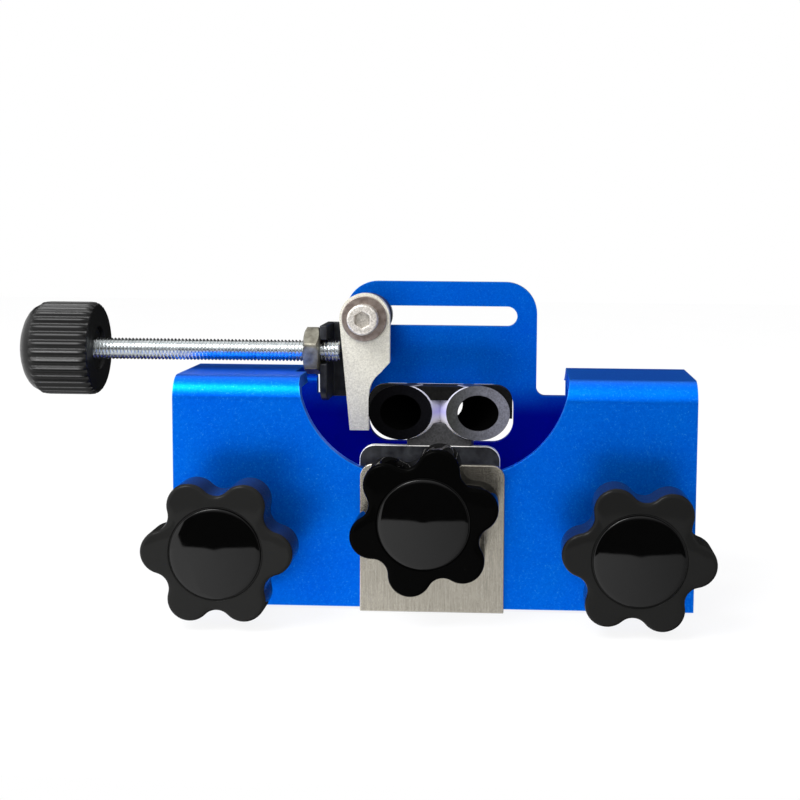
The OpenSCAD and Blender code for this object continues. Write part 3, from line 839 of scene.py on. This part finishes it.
def floor_material():
    """Pale floor that is nearly white to the camera, with a faint shadow."""
    material, tree = new_tree("pale_floor")
    tint = ramp(tree, noise(tree, 60, 2), [(0.3, (0.86, 0.86, 0.87)), (0.7, (0.9, 0.9, 0.9))])
    matt = add(tree, "BsdfDiffuse", {"Color": tint})
    glow = add(tree, "Emission", {"Color": (1.0, 1.0, 1.0), "Strength": 1.02})
    camera_ray = add(tree, "LightPath").outputs["Is Camera Ray"]
    share = maths(tree, "MULTIPLY", camera_ray, 0.86)
    seen = add(tree, "MixShader", {0: share, 1: matt.outputs[0], 2: glow.outputs[0]})
    add(tree, "OutputMaterial", {"Surface": seen.outputs[0]})
    return material


def floor():
    """Pale sheet that the jig stands on; its front edge lies a little way before the jig."""
    low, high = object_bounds()
    z = low.z - 0.2 * MM
    corners = [(-1.2, low.y - 0.09, z), (1.2, low.y - 0.09, z), (1.2, 1.4, z), (-1.2, 1.4, z)]
    mesh = bpy.data.meshes.new("pale_floor")
    mesh.from_pydata(corners, [], [(0, 1, 2, 3)])
    mesh.materials.append(floor_material())
    obj = bpy.data.objects.new("pale_floor", mesh)
    bpy.context.scene.collection.objects.link(obj)
    obj.visible_glossy = False


def area_light(name, place, target, size, power, colour=(1, 1, 1)):
    """Soft square light at a place in metres, turned to a target."""
    data = bpy.data.lights.new(name, "AREA")
    data.size = size
    data.energy = power
    data.color = colour
    obj = bpy.data.objects.new(name, data)
    bpy.context.scene.collection.objects.link(obj)
    obj.location = place
    obj.rotation_mode = "QUATERNION"
    obj.rotation_quaternion = (Vector(target) - Vector(place)).to_track_quat("-Z", "Y")
    return obj


def lights():
    """One soft key light from the upper left and a broad fill from the front."""
    target = (0, 0, 0)
    area_light("key", (-0.45, -0.55, 0.75), target, 0.5, 9)
    fill = area_light("fill", (0.1, -1.1, 0.35), target, 0.9, 7)
    fill.visible_glossy = False


def camera():
    """Camera in front of the jig, a little to its right and above it, looking slightly down and left."""
    data = bpy.data.cameras.new("view")
    data.sensor_width = 36
    data.lens = CAMERA_LENS
    data.shift_x, data.shift_y = CAMERA_SHIFT
    data.clip_start = 0.01
    obj = bpy.data.objects.new("view", data)
    bpy.context.scene.collection.objects.link(obj)
    low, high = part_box("body")
    foot = Vector(((low.x + high.x) / 2, low.y, low.z))
    yaw, pitch, roll = (math.radians(CAMERA_TURN[key]) for key in ("yaw", "pitch", "roll"))
    forward = Vector((-math.sin(yaw) * math.cos(pitch), math.cos(yaw) * math.cos(pitch), -math.sin(pitch)))
    obj.location = foot + Vector(CAMERA_PLACE) * MM
    obj.rotation_mode = "QUATERNION"
    obj.rotation_quaternion = forward.to_track_quat("-Z", "Y") @ Quaternion((0, 0, 1), roll)
    bpy.context.scene.camera = obj


# ---- assembly ----

def build_pieces():
    """Every piece with its material."""
    blue = blue_sheet()
    bright = zinc()
    aged = dull_zinc()
    oxide = black_steel("black_steel")
    grey = dark_steel()
    steel = stainless()
    rounded_copy("body", 0.4, blue)
    rounded_copy("clamp_plate", 0.25, steel)
    # The carrier's faces that don't look forwards are painted bright: painted light.
    rounded_copy("guide_carrier", 0.35, black_steel("black_steel_painted_lit_sides", 1.0))
    rounded_copy("guide_saddle", 0.3, grey)
    rounded_copy("guide_wedge", 0.3, soft_black())
    # The left bushing is a shaded copy of one steel and the right a lit copy: painted shade on the left,
    # painted light on the right.
    left = bushing_steel("left", (0.0008, 0.0008, 0.001), (0.003, 0.003, 0.004), 0.02)
    right = bushing_steel("right", (0.022, 0.023, 0.02), (0.11, 0.112, 0.14), 0.2)
    rounded_copy("left_guide_bushing", 0.25, left)
    rounded_copy("right_guide_bushing", 0.25, right)
    rounded_copy("body_inserts", 0.25, bright)
    # The face grey and shine of each knob stand in for light: painted light on the side knobs.
    for side, painted_face_grey in (("left", 0.011), ("right", 0.008)):
        star_knob(side + "_knob", gloss_black(side + "_knob", painted_face_grey, 0.06))
        side_stud(side + "_stud", bright)
        rounded_copy(side + "_foot", 0.4, grey)
    # The centre knob's face is painted darker and less shiny: painted shade.
    star_knob("centre_knob", gloss_black("centre_knob", 0.001, 0.01))
    plain_stud("centre_stud", bright)
    washer("centre_washer", THREAD_R + 0.05, bright)
    rounded_copy("rest_pads", 0.5, black_rubber())
    rounded_copy("pad_screws", 0.3, bright)
    rounded_copy("stop_pawl", 0.2, blasted_steel())
    stop_bolt(bolt_steel())
    washer("stop_washer", BOLT_R + 0.05, brown_washer())
    rounded_copy("stop_spacer", 0.3, grey)
    washer("back_washer", BOLT_R + 0.05, bright)
    back_nut(bright)
    rounded_copy("adjuster_bracket", 0.4, oxide)
    adjuster_nut(aged)
    adjuster_rod(bright)
    adjuster_knob(ribbed_black())


bpy.context.scene.view_settings.view_transform = "Standard"
build_pieces()
studio_world()
floor()
lights()
camera()
